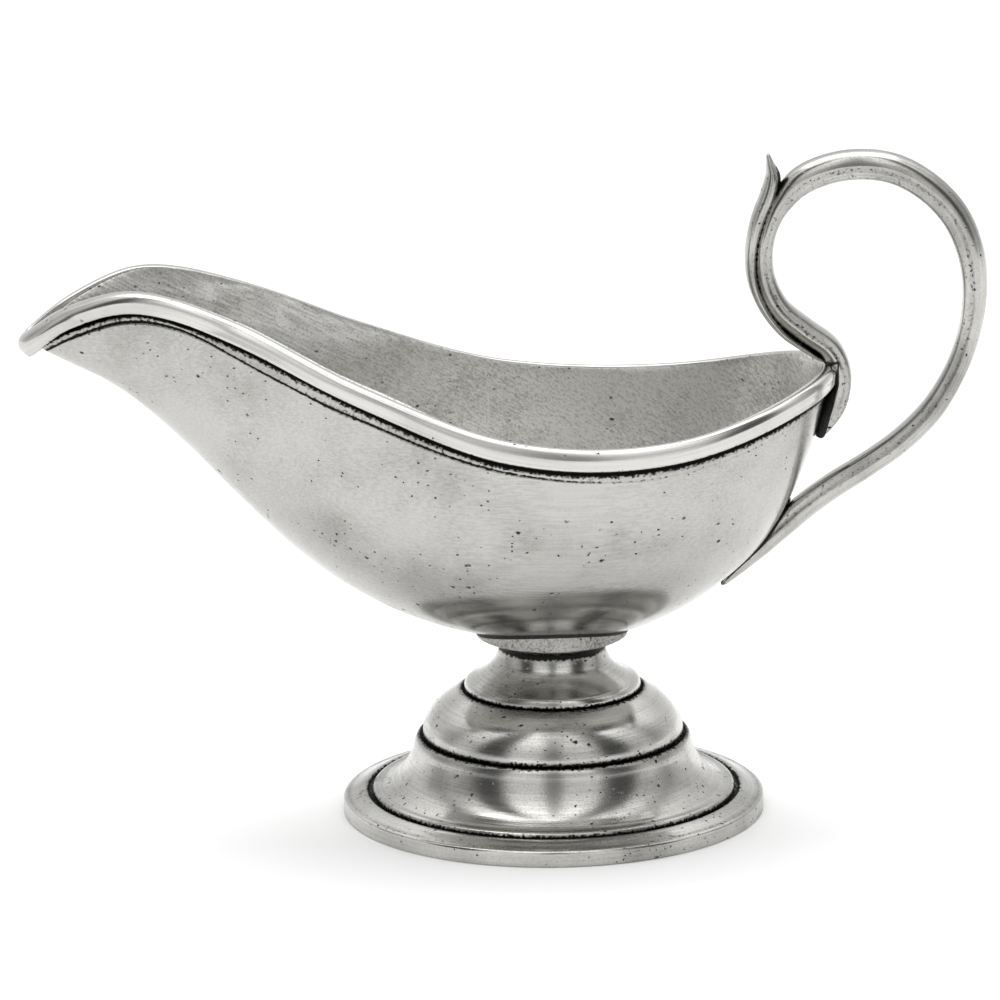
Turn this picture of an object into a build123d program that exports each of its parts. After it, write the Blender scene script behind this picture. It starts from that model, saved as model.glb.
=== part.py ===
from build123d import *
import math
import os

# A footed sauce boat in cast pewter: an egg-shaped bowl with a long spout, a raised rim moulding,
# a foot built up from four turned tiers, and a scroll handle with a leaf at the thumb.
# Frame, in millimetres: origin on the foot's axis at the table, +X to the handle, +Z up.

# ---------------------------------------------------------------- foot
FOOT_R = 51.2            # outer radius of the base ring
RING_SIDE = 3.2          # upright edge of the base ring
RING_TOP_R = FOOT_R - 5.8    # where the ring's sloped top meets the first groove
RING_TOP_Z = 5.4
RING_LAND = 3.4          # width of the flat the boat stands on
SHELL = 2.0              # wall of the hollow tiers
GROOVE = 1.2             # width of the turned grooves between tiers
GROOVE_DEEP = 0.9
SEAT_GAP = 0.1           # radial clearance of each locating spigot
SPIGOT = 1.0             # height of each locating spigot
LEDGE = 2.6              # width of the ledge one tier sits on

BELL_LIP_Z = 6.6         # crown of the bell's lower lip
BELL_WAIST_R = 33.9      # upright waist at the top of the bell
BELL_WAIST_Z = 16.2
BELL_TOP_Z = 18.6        # seat of the dome

DOME_R = BELL_WAIST_R - 2.2
DOME_EQUATOR_Z = 19.8    # height of the dome's widest line
DOME_RISE = 15.2         # height of the full ellipse above that line
DOME_TOP_R = DOME_R - 9.4    # ring where the dome stops
DOME_TOP_Z = 29.9        # seat of the spool

SPOOL_LIP_R = DOME_TOP_R - 0.9
SPOOL_LIP_Z = 32.2
NECK_R = 12.9            # narrowest part of the stem
NECK_Z = 41.3

CUP_SEAT_Z = 43.8        # top of the spool, where the cup under the bowl sits
COLLAR_R = 18.4          # cup that carries the bowl
COLLAR_TOP_Z = 49.5      # above the highest line where cup and bowl meet

# ---------------------------------------------------------------- bowl
KEEL_Z = 44.5            # lowest point of the bowl's outside
BREADTH_Z = 108.0        # height at which the bowl reaches its full breadth
HALF_BREADTH = 49.1
SIDE_POWER = 2.15        # roundness of the bowl seen from the spout
FLARE = 0.06             # gain in breadth above that
NOSE_PINCH = 0.65        # how far the spout end of each level is narrowed
WALL = 1.8
RIM_OUT = 2.0            # how far the rim moulding stands out
NOSE_LIP = 1.6           # how many times further it stands out at the spout's tip
RIM_TALL = 5.2
RIM_ROUND = 1.5          # rounding of the rim's upper edge
RIM_UNDER = 0.8          # rounding of its lower edge
UNDERCUT = 1.0           # width of the groove under the moulding
UNDERCUT_DEEP = 0.5

# Profile in the plane of symmetry, as (height above KEEL_Z, distance from the foot's axis).
SPOUT_LINE = [
    (0.0, 0.0), (2.0, 22.4), (5.5, 33.4), (11.5, 46.0), (21.5, 60.5), (35.5, 75.1),
    (50.5, 89.7), (63.5, 105.0), (72.5, 122.3), (83.5, 134.5), (95.0, 142.5),
]
BACK_LINE = [
    (0.0, 0.0), (2.0, 21.2), (5.5, 29.2), (11.5, 39.1), (23.5, 52.0), (40.5, 61.1),
    (62.5, 67.4), (83.5, 67.8), (95.0, 67.8),
]
# Height of the rim's top along the boat.
SHEER = [
    (-146, 104.0), (-128, 119.8), (-115, 129.0), (-98, 134.0), (-75, 128.1), (-45, 114.5),
    (-10, 102.6), (30, 101.6), (70, 111.8), (92, 117.5),
]
LEVEL_POINTS = 28        # points on each level of the bowl

# ---------------------------------------------------------------- handle
# Stations along the scroll, from its lower tail to the pad on the rim: x, z, thickness, width.
SCROLL = [
    (41.1, 55.5, 1.4, 2.4), (46.2, 60.9, 3.9, 5.2), (50.8, 65.3, 5.1, 6.2),
    (56.3, 70.5, 5.9, 6.6), (62.0, 75.5, 6.2, 6.7), (68.9, 80.5, 6.2, 6.8),
    (77.0, 85.6, 5.9, 6.9), (84.9, 91.3, 5.9, 7.0), (92.3, 98.8, 5.8, 7.0),
    (97.9, 108.1, 5.5, 7.0), (101.3, 117.5, 5.6, 7.2), (102.8, 127.5, 6.1, 7.5),
    (102.0, 137.4, 6.7, 8.0), (98.3, 146.8, 7.1, 8.4), (91.4, 154.4, 7.2, 8.7),
    (82.3, 159.2, 7.3, 8.8), (71.5, 159.8, 7.3, 8.8), (61.8, 156.6, 7.0, 8.6),
    (56.4, 151.0, 5.4, 8.3), (53.5, 145.0, 4.3, 8.0), (52.1, 138.3, 4.5, 7.8),
    (52.7, 131.2, 5.0, 7.8), (55.8, 124.5, 5.6, 7.9), (61.6, 119.2, 6.0, 8.0),
    (67.9, 114.4, 5.8, 8.0), (70.5, 108.2, 5.2, 8.0), (69.3, 101.0, 5.4, 7.2),
    (66.4, 95.4, 3.8, 5.6), (65.2, 92.6, 1.2, 3.0),
]
# Stations along the leaf, from its pointed tip down the inside of the scroll.
LEAF = [
    (53.1, 163.0, 0.7, 1.2), (53.7, 160.4, 2.2, 4.2), (54.3, 157.0, 4.0, 6.6),
    (53.3, 152.6, 4.6, 7.6), (51.2, 147.4, 4.4, 7.4), (49.7, 142.0, 3.9, 7.0),
    (49.1, 136.6, 3.5, 6.8), (49.7, 130.8, 3.1, 6.8), (52.2, 124.6, 2.8, 6.8),
    (56.3, 119.0, 2.4, 6.8), (60.8, 115.4, 2.0, 6.8), (65.0, 112.5, 1.4, 6.2), (66.8, 111.4, 0.6, 3.0),
]
OVAL_POINTS = 12         # points on each oval section
SOLDER = 0.6             # size of the solder fillet at the handle's lower end
PAD_SOLDER = 0.4         # size of the one under the pad on the rim
SEAM = 0.5               # size of the one round the cup under the bowl


def through(table, t):
    """Smooth value at t through (t, value) pairs, by cubic pieces with centred slopes."""
    i = max(k for k in range(len(table) - 1) if k == 0 or table[k][0] <= t)

    def slope(k):
        a, b = table[max(k - 1, 0)], table[min(k + 1, len(table) - 1)]
        return (b[1] - a[1]) / (b[0] - a[0])

    (t0, v0), (t1, v1) = table[i], table[i + 1]
    h = t1 - t0
    u = (t - t0) / h
    rise = v0 + (v1 - v0) * u * u * (3 - 2 * u)
    return rise + h * u * (1 - u) * (slope(i) * (1 - u) - slope(i + 1) * u)


def profile_x(line, z):
    """Reach of the bowl's profile at height z; it leaves the keel like a circle does."""
    return through([(math.sqrt(dz), x) for dz, x in line], math.sqrt(z - KEEL_Z))


def half_breadth(z):
    rise = (z - KEEL_Z) / (BREADTH_Z - KEEL_Z)
    full = 1 - (1 - min(rise, 1.0)) ** SIDE_POWER
    return HALF_BREADTH * full ** (1 / SIDE_POWER) * (1 + FLARE * max(rise - 0.7, 0))


def grown(size, z, grow):
    """A size of the level at z, moved out so that the wall itself moves by grow."""
    slope = (size(z + 0.05) - size(z - 0.05)) / 0.1
    return size(z) + grow * math.hypot(1, slope)


def level(z, grow):
    """Closed egg-shaped section of the bowl at height z."""
    front = grown(lambda h: profile_x(SPOUT_LINE, h), z, grow * NOSE_LIP if grow > 0 else grow)
    back = grown(lambda h: profile_x(BACK_LINE, h), z, grow)
    wide = grown(half_breadth, z, grow)
    rise = min((z - KEEL_Z) / (BREADTH_Z - KEEL_Z), 1.3)
    points = []
    for k in range(LEVEL_POINTS):
        angle = math.pi + 2 * math.pi * k / LEVEL_POINTS
        s = (1 - math.cos(angle)) / 2
        narrow = NOSE_PINCH * rise ** 1.23 * (1 - s) ** 1.5
        narrow -= 0.028 * grow * rise ** 2 * (1 - s) ** 5
        points.append((-front + (front + back) * s, wide * math.sin(angle) * (1 - narrow), z))
    steps = [k / LEVEL_POINTS for k in range(LEVEL_POINTS + 1)]
    return Wire([Edge.make_spline(points, periodic=True, parameters=steps)])


def hull(grow, z_low, z_high=138.0, count=13):
    """Solid of the bowl's outside moved out by grow, from z_low up to above the rim."""
    low, high = math.sqrt(z_low - KEEL_Z), math.sqrt(z_high - KEEL_Z)
    heights = [KEEL_Z + (low + (high - low) * k / (count - 1)) ** 2 for k in range(count)]
    return Solid.make_loft([level(z, grow) for z in heights])


def under_sheer(drop):
    """Everything lower than the rim's top line moved down by drop."""
    line = Edge.make_spline([(x, 0, z - drop) for x, z in SHEER])
    x0, x1 = SHEER[0][0], SHEER[-1][0]
    sides = Polyline((x1, 0, SHEER[-1][1] - drop), (x1, 0, 30), (x0, 0, 30), (x0, 0, SHEER[0][1] - drop))
    return extrude(Face(Wire([line] + sides.edges())), amount=80, dir=(0, 1, 0), both=True)


def turned(*pieces):
    """Solid of revolution about the foot's axis from the edges of a half section in XZ."""
    edges = []
    for piece in pieces:
        edges += piece.edges()
    return revolve(Face(Wire(edges)), axis=Axis.Z)


def line_xz(*points):
    return Polyline(*[(r, 0, z) for r, z in points])


def curve_xz(*points):
    return Bezier(*[(r, 0, z) for r, z in points])


def bar(stations, extra=0.0):
    """Tapering bar of oval section along stations in the plane of symmetry."""
    path = Edge.make_spline([(x, 0, z) for x, z, thick, wide in stations])
    steps = [k / OVAL_POINTS for k in range(OVAL_POINTS + 1)]
    ovals = []
    for x, z, thick, wide in stations:
        along = path.tangent_at(path.param_at_point((x, 0, z)))
        points = []
        for step in steps[:-1]:
            out = (thick / 2 + extra) * math.cos(2 * math.pi * step)
            side = (wide / 2 + extra) * math.sin(2 * math.pi * step)
            points.append((x - out * along.Z, side, z + out * along.X))
        ovals.append(Wire([Edge.make_spline(points, periodic=True, parameters=steps)]))
    return Solid.make_loft(ovals)


def base_ring():
    seat = RING_TOP_Z - GROOVE_DEEP
    inner = RING_TOP_R - GROOVE - LEDGE
    land = FOOT_R - RING_LAND
    return turned(
        line_xz((land, 0), (FOOT_R, 0), (FOOT_R, RING_SIDE)),
        curve_xz((FOOT_R, RING_SIDE), (FOOT_R, RING_SIDE + 0.6), (FOOT_R - 0.4, RING_SIDE + 0.8),
                 (FOOT_R - 1.1, RING_SIDE + 0.9)),
        curve_xz((FOOT_R - 1.1, RING_SIDE + 0.9), (FOOT_R - 2.4, RING_SIDE + 1.1),
                 (RING_TOP_R + 1.6, RING_TOP_Z), (RING_TOP_R, RING_TOP_Z)),
        line_xz((RING_TOP_R, RING_TOP_Z), (RING_TOP_R - 0.3, seat), (inner, seat),
                (inner, seat - SHELL), (land - 1.2, seat - SHELL), (land, seat - SHELL - 1.0),
                (land, 0)),
    )


def bell():
    seat = RING_TOP_Z - GROOVE_DEEP
    foot = RING_TOP_R - GROOVE
    top_in = DOME_R - 0.3 - LEDGE
    spigot = foot - LEDGE - SEAT_GAP
    return turned(
        line_xz((spigot, seat - SPIGOT), (spigot, seat), (foot, seat)),
        curve_xz((foot, seat), (foot - 0.1, BELL_LIP_Z), (foot - 2.6, BELL_LIP_Z - 0.4),
                 (foot - 4.0, BELL_LIP_Z + 0.6)),
        curve_xz((foot - 4.0, BELL_LIP_Z + 0.6), (foot - 8.0, BELL_LIP_Z + 3.2),
                 (BELL_WAIST_R + 0.9, BELL_WAIST_Z - 3.0), (BELL_WAIST_R, BELL_WAIST_Z)),
        curve_xz((BELL_WAIST_R, BELL_WAIST_Z), (BELL_WAIST_R - 0.2, BELL_TOP_Z - 0.6),
                 (BELL_WAIST_R - 0.7, BELL_TOP_Z + 0.4), (DOME_R + 0.8, BELL_TOP_Z + 0.4)),
        line_xz((DOME_R + 0.8, BELL_TOP_Z + 0.4), (DOME_R + 0.6, BELL_TOP_Z), (top_in, BELL_TOP_Z),
                (top_in, BELL_TOP_Z - SHELL), (BELL_WAIST_R - SHELL, BELL_TOP_Z - SHELL),
                (BELL_WAIST_R - SHELL + 0.6, BELL_WAIST_Z - 2.4)),
        curve_xz((BELL_WAIST_R - SHELL + 0.6, BELL_WAIST_Z - 2.4),
                 (BELL_WAIST_R + 1.6, BELL_LIP_Z + 2.2),
                 (foot - 8.0, BELL_LIP_Z + 0.4), (spigot - SHELL, seat - SPIGOT)),
        line_xz((spigot - SHELL, seat - SPIGOT), (spigot, seat - SPIGOT)),
    )


def dome_point(scale_in, angle):
    """Point of the dome's ellipse, moved in by scale_in, at an angle above its widest line."""
    r = (DOME_R - scale_in) * math.cos(angle)
    return (r, 0, DOME_EQUATOR_Z + (DOME_RISE - scale_in) * math.sin(angle))


def dome():
    top = math.acos(DOME_TOP_R / DOME_R)
    inner_r = DOME_R - SHELL
    top_in = math.acos((DOME_TOP_R - 0.6) / inner_r)
    spigot = DOME_R - 0.3 - LEDGE - SEAT_GAP
    hole = DOME_TOP_R - 2 * LEDGE
    outer = Edge.make_spline([dome_point(0, top * k / 5) for k in range(6)])
    inner = Edge.make_spline([dome_point(SHELL, top_in * k / 5) for k in range(5, -1, -1)])
    crown = dome_point(0, top)[2]
    under = dome_point(SHELL, top_in)
    return turned(
        line_xz((spigot, BELL_TOP_Z - SPIGOT), (spigot, BELL_TOP_Z), (DOME_R - 0.5, BELL_TOP_Z),
                (DOME_R, DOME_EQUATOR_Z)),
        outer,
        line_xz((DOME_TOP_R, crown), (DOME_TOP_R - 0.3, DOME_TOP_Z), (hole, DOME_TOP_Z),
                (hole, under[2]), (under[0], under[2])),
        inner,
        line_xz((inner_r, DOME_EQUATOR_Z), (spigot - SHELL, BELL_TOP_Z - SPIGOT),
                (spigot, BELL_TOP_Z - SPIGOT)),
    )


def spool():
    lip = SPOOL_LIP_R
    foot = DOME_TOP_R - 1.4 * GROOVE
    spigot = DOME_TOP_R - 2 * LEDGE - SEAT_GAP
    bore = NECK_R - SHELL - 1.2
    return turned(
        line_xz((spigot, DOME_TOP_Z - SPIGOT), (spigot, DOME_TOP_Z), (foot, DOME_TOP_Z)),
        curve_xz((foot, DOME_TOP_Z), (lip + 0.3, DOME_TOP_Z + 0.3),
                 (lip + 0.4, SPOOL_LIP_Z + 0.2), (lip - 1.0, SPOOL_LIP_Z + 0.9)),
        curve_xz((lip - 1.0, SPOOL_LIP_Z + 0.9), (NECK_R + 3.6, SPOOL_LIP_Z + 2.4),
                 (NECK_R + 0.3, NECK_Z - 4.0), (NECK_R, NECK_Z)),
        curve_xz((NECK_R, NECK_Z), (NECK_R - 0.1, NECK_Z + 1.2), (COLLAR_R - 3.4, CUP_SEAT_Z - 0.6),
                 (COLLAR_R - 1.0, CUP_SEAT_Z)),
        line_xz((COLLAR_R - 1.0, CUP_SEAT_Z), (bore, CUP_SEAT_Z), (bore, DOME_TOP_Z + SHELL + 2.4),
                (spigot - SHELL, DOME_TOP_Z - SPIGOT), (spigot, DOME_TOP_Z - SPIGOT)),
    )


def collar(bowl_body):
    plug = NECK_R - SHELL - 1.2 - SEAT_GAP
    blank = turned(
        line_xz((0, CUP_SEAT_Z - 3 * SPIGOT), (plug, CUP_SEAT_Z - 3 * SPIGOT), (plug, CUP_SEAT_Z),
                (COLLAR_R - 0.9, CUP_SEAT_Z), (COLLAR_R, CUP_SEAT_Z + 0.5), (COLLAR_R, COLLAR_TOP_Z),
                (0, COLLAR_TOP_Z), (0, CUP_SEAT_Z - 3 * SPIGOT)),
    )
    return blank - bowl_body


def biggest(shape):
    """The main solid of a cut, without slivers."""
    return max(shape.solids(), key=lambda solid: solid.volume)


def round_rim(band):
    """Round the moulding's two outer edges; the outer skin is its largest face.

    Where the pinched tip leaves no room for a rounding, the next smaller one is used.
    """
    for radius, pick in ((RIM_ROUND, -1), (RIM_UNDER, 0)):
        skin = max(band.faces(), key=lambda face: face.area)
        around = [edge for edge in skin.edges() if edge.length > 4 * HALF_BREADTH]
        edge = sorted(around, key=lambda edge: edge.center().Z)[pick]
        for share in (1.0, 0.9, 0.75, 0.5):
            try:
                rounded = biggest(fillet(edge, radius * share))
            except (ValueError, RuntimeError):
                continue
            if rounded.is_valid:
                band = rounded
                break
    return band


def main():
    os.makedirs("parts", exist_ok=True)
    below_rim = under_sheer(0.0)
    below_band = under_sheer(RIM_TALL)
    outside = hull(0.0, 45.0)
    full = biggest(outside & below_rim)
    shell = biggest(full - hull(-WALL, 45.0 + WALL + 0.1))
    groove = below_band - under_sheer(RIM_TALL + UNDERCUT) - hull(-UNDERCUT_DEEP, 45.2)
    bowl = biggest(shell - groove)

    block = hull(RIM_OUT, 80.0, count=9) & (below_rim - below_band)
    rim = round_rim(biggest(block - hull(0.0, 79.0, 139.0, count=9)))

    rod = bar(SCROLL)
    scroll = biggest(rod - full - block)
    leaf = biggest(bar(LEAF) - rod - full - block)

    wide_rod = bar(SCROLL, SOLDER)
    low_skin = (hull(SOLDER, 46.0) & Pos(50, 0, 65) * Box(60, 30, 40)) - full
    lower = biggest((low_skin & wide_rod) - rod)
    top_rod = (bar(SCROLL, PAD_SOLDER) & Pos(70, 0, 102) * Box(24, 30, 26)) - rod
    top_skin = hull(RIM_OUT + PAD_SOLDER, 80.0, count=9) & under_sheer(-PAD_SOLDER)
    upper = biggest((top_rod & top_skin) - full - block)
    seam = Pos(0, 0, 47.5) * (Cylinder(COLLAR_R + SEAM, 6) - Cylinder(COLLAR_R, 6))
    seam = biggest((seam & hull(SEAM, 45.2)) - outside)

    nodes = {
        "foot_base_ring": base_ring(),
        "foot_bell": bell(),
        "foot_dome": dome(),
        "foot_spool": spool(),
        "neck_collar": collar(outside),
        "bowl": bowl,
        "rim_moulding": rim,
        "handle_scroll": scroll,
        "handle_leaf": leaf,
        "solder_bowl_to_collar": seam,
        "solder_handle_lower": lower,
        "solder_handle_upper": upper,
    }
    for name, shape in nodes.items():
        print(name, round(shape.volume, 1), shape.is_valid, len(shape.faces()))
        export_step(shape, f"parts/{name}.step")


main()
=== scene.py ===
import math
import bpy
import bmesh
from mathutils import Euler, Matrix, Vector


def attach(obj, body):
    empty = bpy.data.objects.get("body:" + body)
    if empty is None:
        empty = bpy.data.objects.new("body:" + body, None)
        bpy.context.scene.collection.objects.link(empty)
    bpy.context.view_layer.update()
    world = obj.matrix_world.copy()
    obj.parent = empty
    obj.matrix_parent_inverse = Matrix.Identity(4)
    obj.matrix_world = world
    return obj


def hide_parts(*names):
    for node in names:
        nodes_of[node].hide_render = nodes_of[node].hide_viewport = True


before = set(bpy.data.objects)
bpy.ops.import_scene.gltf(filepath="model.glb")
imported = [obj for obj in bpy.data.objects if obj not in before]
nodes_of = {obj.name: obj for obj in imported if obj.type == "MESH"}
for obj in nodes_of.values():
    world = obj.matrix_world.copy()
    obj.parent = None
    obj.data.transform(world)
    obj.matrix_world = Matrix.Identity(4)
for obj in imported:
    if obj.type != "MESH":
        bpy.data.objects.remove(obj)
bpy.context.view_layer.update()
MM = 0.001

# ---------------------------------------------------------------- sizes, in millimetres
# The bowl's outside is a stack of egg-shaped levels; these are its profiles in the plane of
# symmetry, as (height above the keel, reach), and the height of the rim's top along the boat.
KEEL_Z = 44.5            # lowest point of the bowl's outside
BREADTH_Z = 108.0        # height at which the bowl reaches its full breadth
HALF_BREADTH = 49.1
SIDE_POWER = 2.15        # roundness of the bowl seen from the spout
FLARE = 0.06             # gain in breadth towards the rim
NOSE_LIP = 1.6           # how many times further the rim stands out at the spout's tip
NOSE_PINCH = 0.65        # how far the spout end of each level is narrowed
WALL = 1.8
SPOUT_LINE = [
    (0.0, 0.0), (2.0, 22.4), (5.5, 33.4), (11.5, 46.0), (21.5, 60.5), (35.5, 75.1),
    (50.5, 89.7), (63.5, 105.0), (72.5, 122.3), (83.5, 134.5), (95.0, 142.5),
]
BACK_LINE = [
    (0.0, 0.0), (2.0, 21.2), (5.5, 29.2), (11.5, 39.1), (23.5, 52.0), (40.5, 61.1),
    (62.5, 67.4), (83.5, 67.8), (95.0, 67.8),
]
SHEER = [
    (-146, 104.0), (-128, 119.8), (-115, 129.0), (-98, 134.0), (-75, 128.1), (-45, 114.5),
    (-10, 102.6), (30, 101.6), (70, 111.8), (92, 117.5),
]
# Stations of the scroll handle and of its leaf: x, z, thickness, width.
SCROLL = [
    (41.1, 55.5, 1.4, 2.4), (46.2, 60.9, 3.9, 5.2), (50.8, 65.3, 5.1, 6.2),
    (56.3, 70.5, 5.9, 6.6), (62.0, 75.5, 6.2, 6.7), (68.9, 80.5, 6.2, 6.8),
    (77.0, 85.6, 5.9, 6.9), (84.9, 91.3, 5.9, 7.0), (92.3, 98.8, 5.8, 7.0),
    (97.9, 108.1, 5.5, 7.0), (101.3, 117.5, 5.6, 7.2), (102.8, 127.5, 6.1, 7.5),
    (102.0, 137.4, 6.7, 8.0), (98.3, 146.8, 7.1, 8.4), (91.4, 154.4, 7.2, 8.7),
    (82.3, 159.2, 7.3, 8.8), (71.5, 159.8, 7.3, 8.8), (61.8, 156.6, 7.0, 8.6),
    (56.4, 151.0, 5.4, 8.3), (53.5, 145.0, 4.3, 8.0), (52.1, 138.3, 4.5, 7.8),
    (52.7, 131.2, 5.0, 7.8), (55.8, 124.5, 5.6, 7.9), (61.6, 119.2, 6.0, 8.0),
    (67.9, 114.4, 5.8, 8.0), (70.5, 108.2, 5.2, 8.0), (69.3, 101.0, 5.4, 7.2),
    (66.4, 95.4, 3.8, 5.6), (65.2, 92.6, 1.2, 3.0),
]
LEAF = [
    (53.1, 163.0, 0.7, 1.2), (53.7, 160.4, 2.2, 4.2), (54.3, 157.0, 4.0, 6.6),
    (53.3, 152.6, 4.6, 7.6), (51.2, 147.4, 4.4, 7.4), (49.7, 142.0, 3.9, 7.0),
    (49.1, 136.6, 3.5, 6.8), (49.7, 130.8, 3.1, 6.8), (52.2, 124.6, 2.8, 6.8),
    (56.3, 119.0, 2.4, 6.8), (60.8, 115.4, 2.0, 6.8), (65.0, 112.5, 1.4, 6.2), (66.8, 111.4, 0.6, 3.0),
]


# ---------------------------------------------------------------- shape of the bowl
def through(table, t):
    """Smooth value at t through (t, value) pairs, by cubic pieces with centred slopes."""
    i = max(k for k in range(len(table) - 1) if k == 0 or table[k][0] <= t)

    def slope(k):
        a, b = table[max(k - 1, 0)], table[min(k + 1, len(table) - 1)]
        return (b[1] - a[1]) / (b[0] - a[0])

    (t0, v0), (t1, v1) = table[i], table[i + 1]
    h = t1 - t0
    u = (t - t0) / h
    rise = v0 + (v1 - v0) * u * u * (3 - 2 * u)
    return rise + h * u * (1 - u) * (slope(i) * (1 - u) - slope(i + 1) * u)


SPOUT_ROOT = [(math.sqrt(dz), x) for dz, x in SPOUT_LINE]
BACK_ROOT = [(math.sqrt(dz), x) for dz, x in BACK_LINE]


def spout_x(z):
    """Reach of the bowl towards the spout at height z."""
    return through(SPOUT_ROOT, math.sqrt(max(z - KEEL_Z, 0.0)))


def back_x(z):
    """Reach of the bowl towards the handle at height z."""
    return through(BACK_ROOT, math.sqrt(max(z - KEEL_Z, 0.0)))


def half_breadth(z):
    """Half the bowl's breadth at height z."""
    rise = max((z - KEEL_Z) / (BREADTH_Z - KEEL_Z), 0.0)
    full = 1 - (1 - min(rise, 1.0)) ** SIDE_POWER
    return HALF_BREADTH * full ** (1 / SIDE_POWER) * (1 + FLARE * max(rise - 0.7, 0))


def grown(size, z, grow):
    """A size of the level at z, moved out so that the wall itself moves by grow."""
    slope = (size(z + 0.05) - size(z - 0.05)) / 0.1
    return size(z) + grow * math.hypot(1, slope)


def on_bowl(angle, z, grow):
    """Point of the bowl's skin moved out by grow, at an angle round the level at z."""
    back, wide = grown(back_x, z, grow), grown(half_breadth, z, grow)
    front = grown(spout_x, z, grow * NOSE_LIP if grow > 0 else grow)
    rise = min((z - KEEL_Z) / (BREADTH_Z - KEEL_Z), 1.3)
    s = (1 - math.cos(angle)) / 2
    narrow = NOSE_PINCH * rise ** 1.23 * (1 - s) ** 1.5
    narrow -= 0.028 * grow * rise ** 2 * (1 - s) ** 5
    return Vector((-front + (front + back) * s, wide * math.sin(angle) * (1 - narrow), z))


def level_under(angle, drop, grow=0.0):
    """Height at which the skin moved out by grow is drop below the rim's top line."""
    low, high = 60.0, 136.0
    for step in range(22):
        z = (low + high) / 2
        if through(SHEER, on_bowl(angle, z, grow).x) - z < drop:
            high = z
        else:
            low = z
    return (low + high) / 2


# ---------------------------------------------------------------- building a skin
def skin(name, place, around, rows, materials, parts, pick=None):
    """A grid laid on a surface and closed along its seams and poles.

    place(u, v) gives the point in mm, how dark the patina and the painted shade are there, and where
    the point lies in the brushing, in lines; pick(u, v) gives the material of a face.
    """
    bm = bmesh.new()
    bmesh.ops.create_grid(bm, x_segments=around, y_segments=rows, size=0.5)
    # Per-vertex darkness: patina, and painted shade where the handle lies against the bowl.
    patina_and_painted_shade = bm.verts.layers.float.new("patina_and_painted_shade")
    brush = bm.verts.layers.float_vector.new("brush")
    if pick:
        for face in bm.faces:
            middle = face.calc_center_median()
            face.material_index = pick(middle.x + 0.5, middle.y + 0.5)
    for vert in bm.verts:
        point, dark, lines = place(vert.co.x + 0.5, vert.co.y + 0.5)
        vert.co = Vector(point) * MM
        vert[patina_and_painted_shade] = dark
        vert[brush] = lines
    bmesh.ops.remove_doubles(bm, verts=bm.verts, dist=0.004 * MM)
    bmesh.ops.recalc_face_normals(bm, faces=bm.faces)
    mesh = bpy.data.meshes.new(name)
    bm.to_mesh(mesh)
    bm.free()
    mesh.shade_smooth()
    piece = bpy.data.objects.new(name, mesh)
    bpy.context.collection.objects.link(piece)
    for material in materials:
        mesh.materials.append(material)
    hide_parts(*parts)
    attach(piece, "root")
    return piece


# ---------------------------------------------------------------- colours and nodes
def linear(code):
    """Linear colour of an sRGB hex value."""
    parts = [int(code[k:k + 2], 16) / 255 for k in (1, 3, 5)]
    return [c / 12.92 if c <= 0.04045 else ((c + 0.055) / 1.055) ** 2.4 for c in parts] + [1.0]


def add(tree, kind, links=None, **settings):
    """A node with its settings; links gives its inputs, as values or as other nodes' outputs."""
    node = tree.nodes.new(kind)
    for name, value in settings.items():
        setattr(node, name, value)
    for socket, value in (links or {}).items():
        if isinstance(value, bpy.types.NodeSocket):
            tree.links.new(value, node.inputs[socket])
        else:
            node.inputs[socket].default_value = value
    return node


# Real sizes of the marks in the metal. Real grain is finer than 0.5 mm; it is drawn that coarse to show.
CLOUD_SIZE = 18 * MM     # patches of tone
GRAIN_SIZE = 0.5 * MM    # grain of the casting
RAGGED_SIZE = 0.8 * MM   # teeth along the edge of the patina
FRAY = 0.9 * MM          # how far a pit is bent out of round
BIG_CELL = 2.4 * MM      # spacing of the large pits and of the small ones
SMALL_CELL = 1.1 * MM


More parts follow.
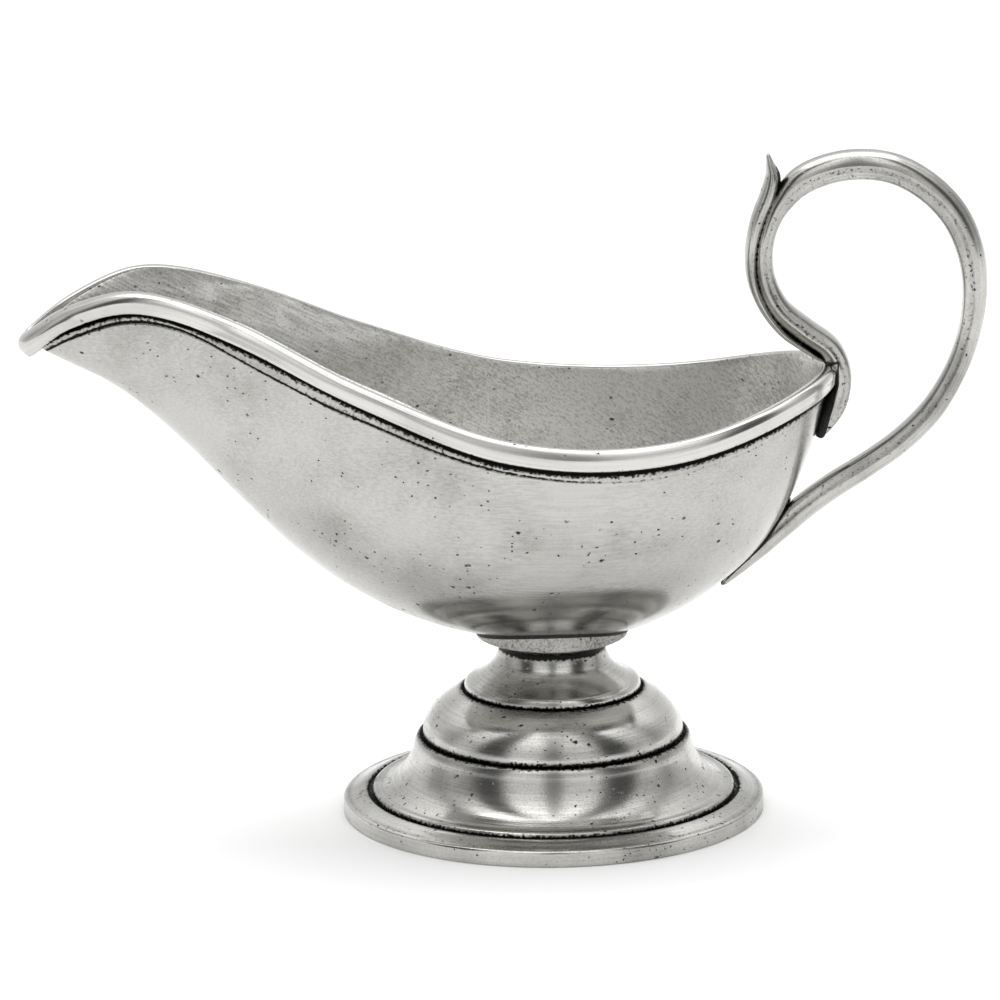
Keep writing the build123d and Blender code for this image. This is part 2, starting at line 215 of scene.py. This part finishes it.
def pewter(name, body, clouded, dark, rough, brush_depth, pit_share, speckle, cloud,
           smudge=0.25, streak=0.2):
    """Cast pewter: rubbed bright, clouded where handled, black where no polish reaches.

    body, clouded and dark are its colours, and rough is its roughness where it is rubbed bright.
    brush_depth is the brushing's depth in mm, pit_share how many cells hold a pit, speckle how
    strong the grain of the casting is, cloud how far the tone wanders from body to clouded, smudge
    how dark thin patina is, and streak how plain the strokes of the brushing are.
    """
    material = bpy.data.materials.new(name)
    material.use_nodes = True
    tree = material.node_tree
    shader = tree.nodes["Principled BSDF"]
    place = add(tree, "ShaderNodeTexCoord").outputs["Object"]
    patina_and_painted_shade = add(tree, "ShaderNodeAttribute", attribute_name="patina_and_painted_shade").outputs["Fac"]
    brush = add(tree, "ShaderNodeAttribute", attribute_name="brush").outputs["Vector"]
    lines = add(tree, "ShaderNodeTexNoise", {"Vector": brush, "Scale": 1.0, "Detail": 2.0}).outputs["Fac"]
    clouds = add(tree, "ShaderNodeTexNoise", {"Vector": place, "Scale": 1 / CLOUD_SIZE, "Detail": 4.0})
    grain = add(tree, "ShaderNodeTexNoise", {"Vector": place, "Scale": 1 / GRAIN_SIZE, "Detail": 2.0})
    ragged = add(tree, "ShaderNodeTexNoise", {"Vector": place, "Scale": 1 / RAGGED_SIZE, "Detail": 3.0})
    # Pits are hollows in scattered cells, drawn out along the boat and bent out of round.
    frayed = add(tree, "ShaderNodeVectorMath", {0: ragged.outputs["Color"], "Scale": FRAY}, operation="SCALE")
    bent = add(tree, "ShaderNodeVectorMath", {0: place, 1: frayed.outputs["Vector"]}, operation="ADD")
    bent = add(tree, "ShaderNodeVectorMath", {0: bent.outputs["Vector"], 1: (0.6, 1.0, 1.0)},
               operation="MULTIPLY").outputs["Vector"]
    pit = 0.0
    for size, share, wide in ((BIG_CELL, pit_share, 0.13), (SMALL_CELL, 1.3 * pit_share, 0.15)):
        cell = add(tree, "ShaderNodeTexVoronoi", {"Vector": bent, "Scale": 1 / size})
        # A pit is drawn only in cells whose random colour is low, and more of them in some clouds.
        chance = add(tree, "ShaderNodeSeparateColor", {"Color": cell.outputs["Color"]}).outputs["Red"]
        limit = add(tree, "ShaderNodeMapRange", {"Value": clouds.outputs["Fac"], "From Min": 0.4,
                                                 "From Max": 0.65, "To Max": 2.5 * share}).outputs["Result"]
        chosen = add(tree, "ShaderNodeMath", {0: chance, 1: limit}, operation="LESS_THAN").outputs["Value"]
        hollow = add(tree, "ShaderNodeMapRange", {"Value": cell.outputs["Distance"], "From Min": wide + 0.08,
                                                  "From Max": wide - 0.04})
        one = add(tree, "ShaderNodeMath", {0: chosen, 1: hollow.outputs["Result"]}, operation="MULTIPLY")
        pit = add(tree, "ShaderNodeMath", {0: one.outputs["Value"], 1: pit},
                  operation="MAXIMUM").outputs["Value"]
    # Patina, and the painted shade where the handle lies against the bowl, keep their value but their edge
    # wanders.
    wander = add(tree, "ShaderNodeMath", {0: ragged.outputs["Fac"], 1: 1.5, 2: -0.75},
                 operation="MULTIPLY_ADD")
    edge = add(tree, "ShaderNodeMath", {0: patina_and_painted_shade, 1: wander.outputs["Value"]},
               operation="ADD").outputs["Value"]
    black = add(tree, "ShaderNodeMapRange", {"Value": edge, "From Min": 0.35, "From Max": 0.75},
                interpolation_type="SMOOTHSTEP").outputs["Result"]
    # Beyond the black edge the patina and painted shade thin out into grey smudges.
    cloudy = add(tree, "ShaderNodeMath", {0: clouds.outputs["Fac"], 1: 1.4, 2: -0.7},
                 operation="MULTIPLY_ADD")
    thin = add(tree, "ShaderNodeMath", {0: patina_and_painted_shade, 1: cloudy.outputs["Value"]},
               operation="ADD").outputs["Value"]
    thin = add(tree, "ShaderNodeMapRange", {"Value": thin, "From Min": 0.05, "From Max": 0.8,
                                            "To Max": smudge})
    black = add(tree, "ShaderNodeMath", {0: black, 1: thin.outputs["Result"]},
                operation="MAXIMUM").outputs["Value"]
    black = add(tree, "ShaderNodeMath", {0: black, 1: pit}, operation="MAXIMUM").outputs["Value"]
    tone = add(tree, "ShaderNodeMapRange", {"Value": clouds.outputs["Fac"], "From Min": 0.35, "From Max": 0.7,
                                            "To Max": cloud}).outputs["Result"]
    fleck = add(tree, "ShaderNodeMapRange", {"Value": grain.outputs["Fac"], "From Min": 0.45,
                                             "From Max": 0.75, "To Max": speckle}).outputs["Result"]
    tone = add(tree, "ShaderNodeMath", {0: tone, 1: fleck}, operation="ADD").outputs["Value"]
    # The strokes of the brushing show a little darker and lighter too.
    stroke = add(tree, "ShaderNodeMapRange", {"Value": lines, "From Min": 0.35, "From Max": 0.65,
                                              "To Min": -streak, "To Max": streak}).outputs["Result"]
    tone = add(tree, "ShaderNodeMath", {0: tone, 1: stroke}, operation="ADD", use_clamp=True).outputs["Value"]
    metal = add(tree, "ShaderNodeMix", {"Factor": tone, "A": linear(body), "B": linear(clouded)},
                data_type="RGBA", clamp_factor=True)
    colour = add(tree, "ShaderNodeMix", {"Factor": black, "B": linear(dark)}, data_type="RGBA")
    tree.links.new(metal.outputs["Result"], colour.inputs["A"])
    tree.links.new(colour.outputs["Result"], shader.inputs["Base Color"])
    shader.inputs["Metallic"].default_value = 1.0
    duller = add(tree, "ShaderNodeMath", {0: black, 1: 0.35, 2: rough},
                 operation="MULTIPLY_ADD").outputs["Value"]
    duller = add(tree, "ShaderNodeMath", {0: tone, 1: 0.10, 2: duller},
                 operation="MULTIPLY_ADD").outputs["Value"]
    streaks = add(tree, "ShaderNodeMath", {0: lines, 1: 0.12, 2: -0.06},
                  operation="MULTIPLY_ADD").outputs["Value"]
    duller = add(tree, "ShaderNodeMath", {0: duller, 1: streaks}, operation="ADD").outputs["Value"]
    tree.links.new(duller, shader.inputs["Roughness"])
    # Heights in mm: the brushing, the grain of the casting, then the grooves and pits.
    height = add(tree, "ShaderNodeMath", {0: lines, 1: brush_depth}, operation="MULTIPLY").outputs["Value"]
    height = add(tree, "ShaderNodeMath", {0: grain.outputs["Fac"], 1: 0.03 * speckle, 2: height},
                 operation="MULTIPLY_ADD").outputs["Value"]
    height = add(tree, "ShaderNodeMath", {0: black, 1: -0.06, 2: height},
                 operation="MULTIPLY_ADD").outputs["Value"]
    bump = add(tree, "ShaderNodeBump", {"Height": height, "Distance": MM})
    tree.links.new(bump.outputs["Normal"], shader.inputs["Normal"])
    return material


# Satin cast pewter, brushed along the boat: soft wide highlights drawn out across the brushing.
outside_pewter = pewter("satin_pewter", "#bbbab7", "#9b9a96", "#232322", rough=0.17, brush_depth=0.010,
                        pit_share=0.12, speckle=0.30, cloud=0.6)
# The inside is left nearly as cast, so it is rougher and speckled.
inside_pewter = pewter("as_cast_pewter", "#e4e3e0", "#a9a8a4", "#3c3b39", rough=0.34, brush_depth=0.022,
                       pit_share=0.10, speckle=0.7, cloud=0.45, smudge=0.25, streak=0.32)
# The rim is burnished by hand and use.
rim_pewter = pewter("burnished_pewter", "#cfcecb", "#b2b1ad", "#232322", rough=0.18, brush_depth=0.006,
                    pit_share=0.04, speckle=0.15, cloud=0.4)
# The foot is turned on a lathe: fine rings round its axis and black left in the turned grooves.
foot_pewter = pewter("turned_pewter", "#cdccc8", "#999894", "#1f1f1e", rough=0.15, brush_depth=0.012,
                     pit_share=0.2, speckle=0.35, cloud=0.6, smudge=0.45, streak=0.12)
# The handle is cast in sand, filed and polished: bright crown, dark pits and creases.
handle_pewter = pewter("polished_cast_pewter", "#c2c1bd", "#8a8985", "#20201f", rough=0.16, brush_depth=0.006,
                       pit_share=0.07, speckle=0.30, cloud=0.6, smudge=0.4)
# The cup and the solder keep the black of the patina bath; the solder is near black also as painted
# shade, standing in for the dark gaps where the handle and the bowl meet.
black_pewter = pewter("blackened_pewter", "#a9a8a4", "#5f5e5b", "#1b1b1a", rough=0.30, brush_depth=0.004,
                      pit_share=0.30, speckle=0.8, cloud=0.6)
# Near-black solder: patina, and painted shade for the dark gaps at the joints.
solder_black_and_gap_shade = pewter("solder_patina_and_painted_shade", "#3a3a38", "#1d1d1c", "#101010", rough=0.45, brush_depth=0.004,
                      pit_share=0.20, speckle=0.8, cloud=0.6)


# ---------------------------------------------------------------- bowl
# The engraved line under the rim, by place along the boat: its depth below the rim's top, and how
# plain it still is, because it is worn away towards the handle.
LINE_DEPTH = [
    (-150, 8.6), (-125, 8.3), (-103, 7.7), (-86, 7.4), (-71, 9.2), (-45, 8.5), (-10, 7.6), (20, 8.1),
    (80, 8.1),
]
LINE_PLAIN = [(-150, 1.0), (-40, 1.0), (0, 0.7), (30, 0.35), (80, 0.2)]
FALL = 40                # rows from the keel up to the engraved line, and from the rim down inside
# Rows near the rim, up the outside and over the inside: how far below the rim's top, how far out of
# the skin, and how black. The first rows are counted from the engraved line instead.
BAND = [
    (0.8, 0.0, 0.0), (0.35, 0.0, 0.45), (0.12, -0.12, 1.0),
    (-0.12, -0.12, 1.0), (-0.35, 0.0, 0.5), (-0.6, 0.0, 0.35),
    (7.3, 0.0, 0.3), (6.9, 0.0, 0.5), (6.5, 0.0, 0.7),
    (6.2, -0.15, 0.95), (5.9, -0.45, 1.1), (5.5, -0.5, 1.2),
    (5.2, -0.5, 1.2), (4.4, -0.4, 1.2), (3.0, -0.9, 0.8), (1.2, -1.3, 0.0), (0.45, -WALL + 0.1, 0.0),
    (0.7, -WALL, 0.0), (2.4, -WALL, 0.0), (5.0, -WALL, 0.0), (9.0, -WALL, 0.0),
]
LINE_ROWS = 6            # rows of BAND counted from the engraved line
INSIDE_FROM = 16         # first row of BAND that is inside the bowl
AROUND = 288             # columns round the bowl and its rim
INSIDE_TOP = 10.5        # how far below the rim's top the inner fall starts
ROWS = FALL + len(BAND) + FALL
rim_cache = {}


def column(angle):
    """Place along the boat of the rim at this angle, and the levels at which the falls start."""
    key = round(angle, 5)
    if key not in rim_cache:
        x = on_bowl(angle, level_under(angle, 7.0), 0.0).x
        outer_top = level_under(angle, through(LINE_DEPTH, x) + 1.2)
        rim_cache[key] = (x, outer_top, level_under(angle, INSIDE_TOP))
    return rim_cache[key]


def bowl_point(u, v):
    """Round the bowl by u; up its outside, over the rim and down its inside by v."""
    angle = math.pi + 2 * math.pi * u
    row = round(v * ROWS)
    rim_x, outer_top, inner_top = column(angle)
    if row < FALL:
        root = math.sqrt(outer_top - KEEL_Z) * (row / FALL) ** 0.9
        point = on_bowl(angle, KEEL_Z + root ** 2, 0.0) if row else Vector((0, 0, KEEL_Z))
        dark = 0.0
    elif row < FALL + len(BAND):
        drop, out, dark = BAND[row - FALL]
        deep, plain = through(LINE_DEPTH, rim_x), through(LINE_PLAIN, rim_x)
        if row < FALL + LINE_ROWS:
            drop += deep
            dark *= plain
            out *= plain
        elif row < FALL + INSIDE_FROM:
            # The groove's patina stops short of the line.
            drop = min(drop, deep - 0.6 - 0.05 * (row - FALL - LINE_ROWS + 1))
        point = on_bowl(angle, level_under(angle, drop), out)
    else:
        floor = KEEL_Z + WALL + 0.08
        left = (ROWS - row) / FALL
        root = math.sqrt(inner_top - floor) * left ** 0.9
        point = on_bowl(angle, floor + root ** 2, -WALL) if left else Vector((0, 0, floor))
        dark = 0.0
    # Outside, the brushing runs along the boat; inside, it slants down out of the spout.
    if row < FALL + INSIDE_FROM:
        lines = (point.x / 30, point.y / 0.45, point.z / 0.45)
    else:
        # Long strokes in the spout give way to short ones in the bowl, 0.5 mm wide.
        along = point.x * 0.87 - point.z * 0.5
        lines = (along / 9 + max(point.x + 45, 0) / 1.5, point.y / 2, (point.z * 0.87 + point.x * 0.5) / 0.5)
    return point, dark, lines


skin("bowl_skin", bowl_point, AROUND, ROWS, [outside_pewter, inside_pewter], ["bowl"],
     lambda u, v: 1 if v * ROWS > FALL + INSIDE_FROM - 1 else 0)

# ---------------------------------------------------------------- rim moulding
# Its section, as how far out of the bowl's skin, how far below the rim's top, and how black.
RIM_SECTION = [
    (-1.3, 1.4, 0.0), (-1.72, 0.75, 0.0), (-1.8, 0.45, 0.0),
    (-1.72, 0.2, 0.0), (-1.35, 0.03, 0.0), (-0.7, 0.0, 0.0),
    (0.0, 0.02, 0.0), (0.6, 0.2, 0.0), (1.12, 0.6, 0.0), (1.52, 1.15, 0.0), (1.8, 1.8, 0.0), (1.93, 2.4, 0.0),
    (1.9, 3.1, 0.0), (1.92, 3.8, 0.05), (1.95, 4.4, 0.1), (1.9, 4.9, 0.3), (1.5, 5.15, 0.7), (0.7, 5.2, 1.2),
    (-0.3, 5.0, 1.2), (-1.2, 3.4, 0.5), (-1.3, 1.4, 0.0),
]


def rim_point(u, v):
    """Round the rim by u, round its section by v."""
    angle = math.pi + 2 * math.pi * u
    out, drop, dark = RIM_SECTION[round(v * (len(RIM_SECTION) - 1))]
    # The bead grows taller round the spout's tip, where it ends as a blunt lip.
    tip = min(max((-column(angle)[0] - 110) / 14, 0.0), 1.0)
    drop *= 1 + 0.5 * tip * tip
    point = on_bowl(angle, level_under(angle, drop, out), out)
    return point, dark, (point.x / 20, drop / 0.4, out / 0.4)


rim = skin("rim_bead", rim_point, AROUND, len(RIM_SECTION) - 1, [rim_pewter],
           ["rim_moulding"])


# ---------------------------------------------------------------- handle
def spline(stations, t):
    """Smooth station at t from 0 to 1, with the direction of travel."""
    place = t * (len(stations) - 1)
    tables = [[(k, row[part]) for k, row in enumerate(stations)] for part in range(4)]
    here = [through(table, place) for table in tables]
    ahead = [through(table, min(place + 0.02, len(stations) - 1)) for table in tables[:2]]
    behind = [through(table, max(place - 0.02, 0)) for table in tables[:2]]
    along = Vector((ahead[0] - behind[0], ahead[1] - behind[1])).normalized()
    return here, along


def drawn_bar(stations, section, rod):
    """Surface of a bar whose section is (inwards, sideways, black) in shares of its size.

    The rod's lower end is black on the side that lies against the bowl, as patina and as painted
    shade in the gap there; the leaf's tip is bright.
    """
    count = len(section) - 1

    def place(u, v):
        (x, z, thick, wide), along = spline(stations, v)
        inward, side, dark = section[round(u * count)]
        if not rod:
            dark *= min(max(v - 0.08, 0.0) * 12, 1.0)
        elif inward > 0.1:
            # Painted shade, with patina, on the side of the rod's lower end that lies against the bowl.
            dark = max(dark, min(max(0.16 - v, 0.0) * 14, 1.2) * min((inward - 0.1) * 3, 1.0))
        # Both ends close to a point.
        a, b = (inward * thick, side * wide) if 0 < v < 1 else (0.0, 0.0)
        point = Vector((x - a * along.y, b, z + a * along.x))
        return point, dark, (v * 9, a / 0.5, b / 0.5)

    return place


def mirrored(half):
    """Closed section from its half on the +Y side, from the outer crown to the inner face."""
    return half + [(a, -b, dark) for a, b, dark in reversed(half[1:-1])] + [half[0]]


# A round crown outside, a crease along each side, and a narrow bead along the inner edge.
ROD_SECTION = mirrored([
    (-0.5, 0.0, 0.0), (-0.49, 0.12, 0.0), (-0.45, 0.24, 0.0), (-0.37, 0.35, 0.0), (-0.26, 0.43, 0.0),
    (-0.14, 0.48, 0.05), (-0.03, 0.5, 0.2), (0.04, 0.48, 0.38), (0.1, 0.45, 0.40), (0.18, 0.43, 0.3),
    (0.27, 0.42, 0.22), (0.34, 0.405, 0.34), (0.39, 0.385, 0.2), (0.45, 0.33, 0.05), (0.49, 0.2, 0.05),
    (0.5, 0.0, 0.05),
])
# The leaf is a strip with a round back, black where it meets the rod.
LEAF_SECTION = mirrored([
    (-0.5, 0.0, 0.0), (-0.47, 0.16, 0.0), (-0.40, 0.3, 0.0), (-0.28, 0.42, 0.0), (-0.13, 0.49, 0.0),
    (0.02, 0.5, 0.0), (0.14, 0.47, 0.1), (0.26, 0.40, 0.45), (0.38, 0.28, 1.0), (0.46, 0.14, 1.2),
    (0.5, 0.0, 1.2),
])
scroll = skin("handle_rod", drawn_bar(SCROLL, ROD_SECTION, True), len(ROD_SECTION) - 1, 224,
              [handle_pewter], ["handle_scroll"])
leaf = skin("handle_leaf_strip", drawn_bar(LEAF, LEAF_SECTION, False), len(LEAF_SECTION) - 1, 96,
            [handle_pewter], ["handle_leaf"])
for piece in (rim, scroll, leaf):
    piece.modifiers.new("round", "SUBSURF").levels = 1
    piece.modifiers["round"].render_levels = 1

# ---------------------------------------------------------------- foot
# Grooves between the turned tiers, as (radius, height); patina gathers round them, and thinly in
# the corner along the ring's edge.
GROOVES = [(44.7, 4.9), (31.9, 18.8), (21.6, 30.2), (12.9, 41.5)]
RING_CORNER = (49.9, 4.15)
GROOVE_BAND = 1.5        # how far the black of a groove reaches
SMUDGE_BAND = 12         # how fast the grey beyond it thins out
CORNER_BAND = 1.2        # how far the patina in the corner reaches
RINGS_APART = 0.45       # spacing of the lathe's fine rings


def bend(a, b, c, d, count):
    """Points along a cubic arc from a to d, without a."""
    points = []
    for k in range(1, count + 1):
        t = k / count
        w = ((1 - t) ** 3, 3 * t * (1 - t) ** 2, 3 * t * t * (1 - t), t ** 3)
        points.append(tuple(sum(wk * p[i] for wk, p in zip(w, (a, b, c, d))) for i in (0, 1)))
    return points


def turned(name, profile, node):
    """A tier turned about the foot's axis from a closed profile of (radius, height)."""
    count = len(profile) - 1

    def place(u, v):
        angle = math.pi / 2 + 2 * math.pi * u
        r, z = profile[round(v * count)]
        near = min(math.hypot(r - gr, z - gz) for gr, gz in GROOVES)
        edge = math.hypot(r - RING_CORNER[0], z - RING_CORNER[1])
        dark = max(1.25 - near / GROOVE_BAND, 0.3 - near / SMUDGE_BAND, 0.6 - edge / CORNER_BAND, 0.0)
        ca, sa = math.cos(angle), math.sin(angle)
        brush = (ca * 1.5, r / RINGS_APART + sa * 0.8, z / RINGS_APART)
        return (r * ca, r * sa, z), min(dark, 1.2), brush

    skin(name, place, 256, count, [foot_pewter], [node])


turned("base_ring",
       [(47.8, 0.0), (49.5, 0.0), (50.9, 0.0), (51.2, 0.25), (51.2, 1.2), (51.2, 2.4), (51.2, 3.2)]
       + bend((51.2, 3.2), (51.2, 3.8), (50.8, 4.0), (50.1, 4.1), 6)
       + bend((50.1, 4.1), (48.8, 4.3), (47.0, 5.4), (45.9, 5.4), 8)
       + [(45.6, 5.38), (45.35, 5.2), (45.2, 4.9), (45.1, 4.5), (44.0, 4.5), (41.6, 4.5), (41.6, 2.5),
          (44.0, 2.5), (46.6, 2.5), (47.5, 1.9), (47.8, 1.2), (47.8, 0.0)], "foot_base_ring")
turned("bell_tier", [(41.5, 3.5), (41.5, 4.5), (43.6, 4.5), (44.15, 4.6), (44.2, 4.9)]
       + bend((44.2, 4.9), (44.15, 6.2), (43.4, 6.5), (42.6, 6.35), 8)
       + bend((42.6, 6.35), (41.8, 6.2), (40.9, 6.6), (40.2, 7.2), 6)
       + bend((40.2, 7.2), (36.2, 9.8), (34.8, 13.2), (33.9, 16.2), 18)
       + bend((33.9, 16.2), (33.7, 18.0), (33.2, 19.0), (32.5, 19.0), 8)
       + [(32.35, 18.9), (32.3, 18.6), (31.0, 18.6), (28.8, 18.6), (28.8, 16.6), (31.0, 16.6), (31.9, 16.6),
          (32.2, 15.0), (33.0, 12.2), (35.0, 8.6), (39.5, 4.6), (40.0, 3.5), (41.5, 3.5)], "foot_bell")
# The dome is part of an ellipse, from its widest line up to the ring where it stops.
DOME_R, DOME_RISE, DOME_EQUATOR_Z, DOME_TOP_R = 31.7, 15.2, 19.8, 22.3
DOME_PROFILE = [(28.7, 17.6), (28.7, 18.6), (31.1, 18.6), (31.3, 18.8), (31.45, 19.2)]
for k in range(17):
    up = math.acos(DOME_TOP_R / DOME_R) * k / 16
    DOME_PROFILE.append((DOME_R * math.cos(up), DOME_EQUATOR_Z + DOME_RISE * math.sin(up)))
turned("dome_tier", DOME_PROFILE
       + [(22.15, 30.55), (22.0, 30.3), (21.95, 29.9), (20.0, 29.9), (17.1, 29.9), (17.1, 28.8), (21.0, 28.9),
          (25.0, 27.0), (28.6, 23.4), (29.7, 19.8), (27.2, 17.6), (28.7, 17.6)], "foot_dome")
turned("spool_tier", [(17.0, 28.9), (17.0, 29.9), (20.4, 29.9), (20.7, 29.95)]
       + bend((20.7, 29.95), (21.8, 30.3), (21.8, 32.2), (20.5, 33.0), 9)
       + bend((20.5, 33.0), (16.5, 34.6), (13.2, 37.3), (12.9, 41.3), 20)
       + bend((12.9, 41.3), (12.8, 42.5), (15.0, 43.2), (17.4, 43.8), 8)
       + [(17.2, 43.8), (9.7, 43.8), (9.7, 34.3), (15.0, 28.9), (17.0, 28.9)], "foot_spool")

# The cup and the solder keep the frame's own shapes.
# The solder's near black is patina and painted shade for the dark gaps at the joints.
finishes = {"neck_collar": black_pewter, "solder_bowl_to_collar": solder_black_and_gap_shade,
            "solder_handle_lower": solder_black_and_gap_shade, "solder_handle_upper": solder_black_and_gap_shade}
for name, material in finishes.items():
    mesh = nodes_of[name].data
    mesh.materials.clear()
    mesh.materials.append(material)

# ---------------------------------------------------------------- stage
mesh = bpy.data.meshes.new("floor")
bm = bmesh.new()
bmesh.ops.create_grid(bm, x_segments=1, y_segments=1, size=6.0)
bm.to_mesh(mesh)
bm.free()
floor = bpy.data.objects.new("floor", mesh)
# A hair below the foot, so that the two never share a plane.
floor.location.z = -0.05 * MM
bpy.context.collection.objects.link(floor)
paper = bpy.data.materials.new("white_paper")
paper.use_nodes = True
shade = paper.node_tree.nodes["Principled BSDF"]
shade.inputs["Base Color"].default_value = linear("#ffffff")
shade.inputs["Roughness"].default_value = 0.9
shade.inputs["Emission Color"].default_value = linear("#ffffff")
shade.inputs["Emission Strength"].default_value = 0.06
mesh.materials.append(paper)

bpy.context.scene.view_settings.view_transform = "Standard"
# A white tent round the object. Its walls' grey goes from straight behind (0) round either side to
# straight in front (1): dark at the front, where one stands, and in a gap between screens 45 to 65
# degrees from there, and greyer just behind each side. Its height's grey goes from straight down
# (0) to straight up (1), where it is brightest.
WALL_TONES = [
    (0.0, 1.1), (0.3, 1.1), (0.42, 0.55), (0.5, 1.0), (0.58, 0.9), (0.63, 0.1), (0.74, 0.1), (0.80, 1.15),
    (0.94, 1.1), (0.97, 0.4), (1.0, 0.3),
]
HEIGHT_TONES = [(0.0, 1.0), (0.5, 1.0), (0.6, 0.8), (0.7, 0.75), (0.85, 1.2), (1.0, 2.0)]
TENT_STRENGTH = 0.96
world = bpy.data.worlds.new("studio")
bpy.context.scene.world = world
world.use_nodes = True
sky = world.node_tree
toward = add(sky, "ShaderNodeTexCoord").outputs["Generated"]
part = add(sky, "ShaderNodeSeparateXYZ", {"Vector": toward})
side = add(sky, "ShaderNodeMath", {0: part.outputs["X"]}, operation="ABSOLUTE").outputs["Value"]
turn = add(sky, "ShaderNodeMath", {0: side, 1: part.outputs["Y"]}, operation="ARCTAN2").outputs["Value"]
turn = add(sky, "ShaderNodeMath", {0: turn, 1: math.pi}, operation="DIVIDE").outputs["Value"]
climb = add(sky, "ShaderNodeMath", {0: part.outputs["Z"], 1: 0.5, 2: 0.5},
            operation="MULTIPLY_ADD").outputs["Value"]
greys = []
for where, tones in ((turn, WALL_TONES), (climb, HEIGHT_TONES)):
    ramp = add(sky, "ShaderNodeValToRGB", {"Fac": where})
    stops = ramp.color_ramp.elements
    stops.remove(stops[1])
    for k, (place, grey) in enumerate(tones):
        stop = stops[0] if k == 0 else stops.new(place)
        stop.position = place
        stop.color = (grey, grey, grey, 1.0)
    greys.append(ramp.outputs["Color"])
both = add(sky, "ShaderNodeMix", {"Factor": 1.0, "A": greys[0], "B": greys[1]}, data_type="RGBA",
           blend_type="MULTIPLY")
sky.links.new(both.outputs["Result"], sky.nodes["Background"].inputs["Color"])
sky.nodes["Background"].inputs["Strength"].default_value = TENT_STRENGTH

# One large ceiling light, a little behind the boat.
light = bpy.data.lights.new("ceiling", "AREA")
light.shape = "RECTANGLE"
light.size, light.size_y = 2.4, 1.6
light.energy = 16
lamp = bpy.data.objects.new("ceiling", light)
lamp.location = (-0.1, 0.5, 2.2)
lamp.rotation_euler = (lamp.location - Vector((0, 0, 0.08))).to_track_quat("Z", "Y").to_euler()
bpy.context.collection.objects.link(lamp)

# The camera looks along +Y from a little above, with a long lens, and leans a little to one side.
LENS, SENSOR = 371.5, 36
LIFT_DEGREES, LEAN_DEGREES = 15.02, -0.73
DISTANCE = 2.5           # metres from the target
TARGET = Vector((-12.2, 0, 77.6)) * MM
camera_data = bpy.data.cameras.new("camera")
camera_data.lens = LENS
camera_data.sensor_width = SENSOR
camera_data.clip_end = 50
camera = bpy.data.objects.new("camera", camera_data)
lift = math.radians(LIFT_DEGREES)
camera.location = TARGET + Vector((0, -math.cos(lift), math.sin(lift))) * DISTANCE
look = (TARGET - camera.location).to_track_quat("-Z", "Y").to_matrix().to_4x4()
lean = Euler((0, 0, math.radians(LEAN_DEGREES))).to_matrix().to_4x4()
camera.rotation_euler = (look @ lean).to_euler()
bpy.context.collection.objects.link(camera)
bpy.context.scene.camera = camera
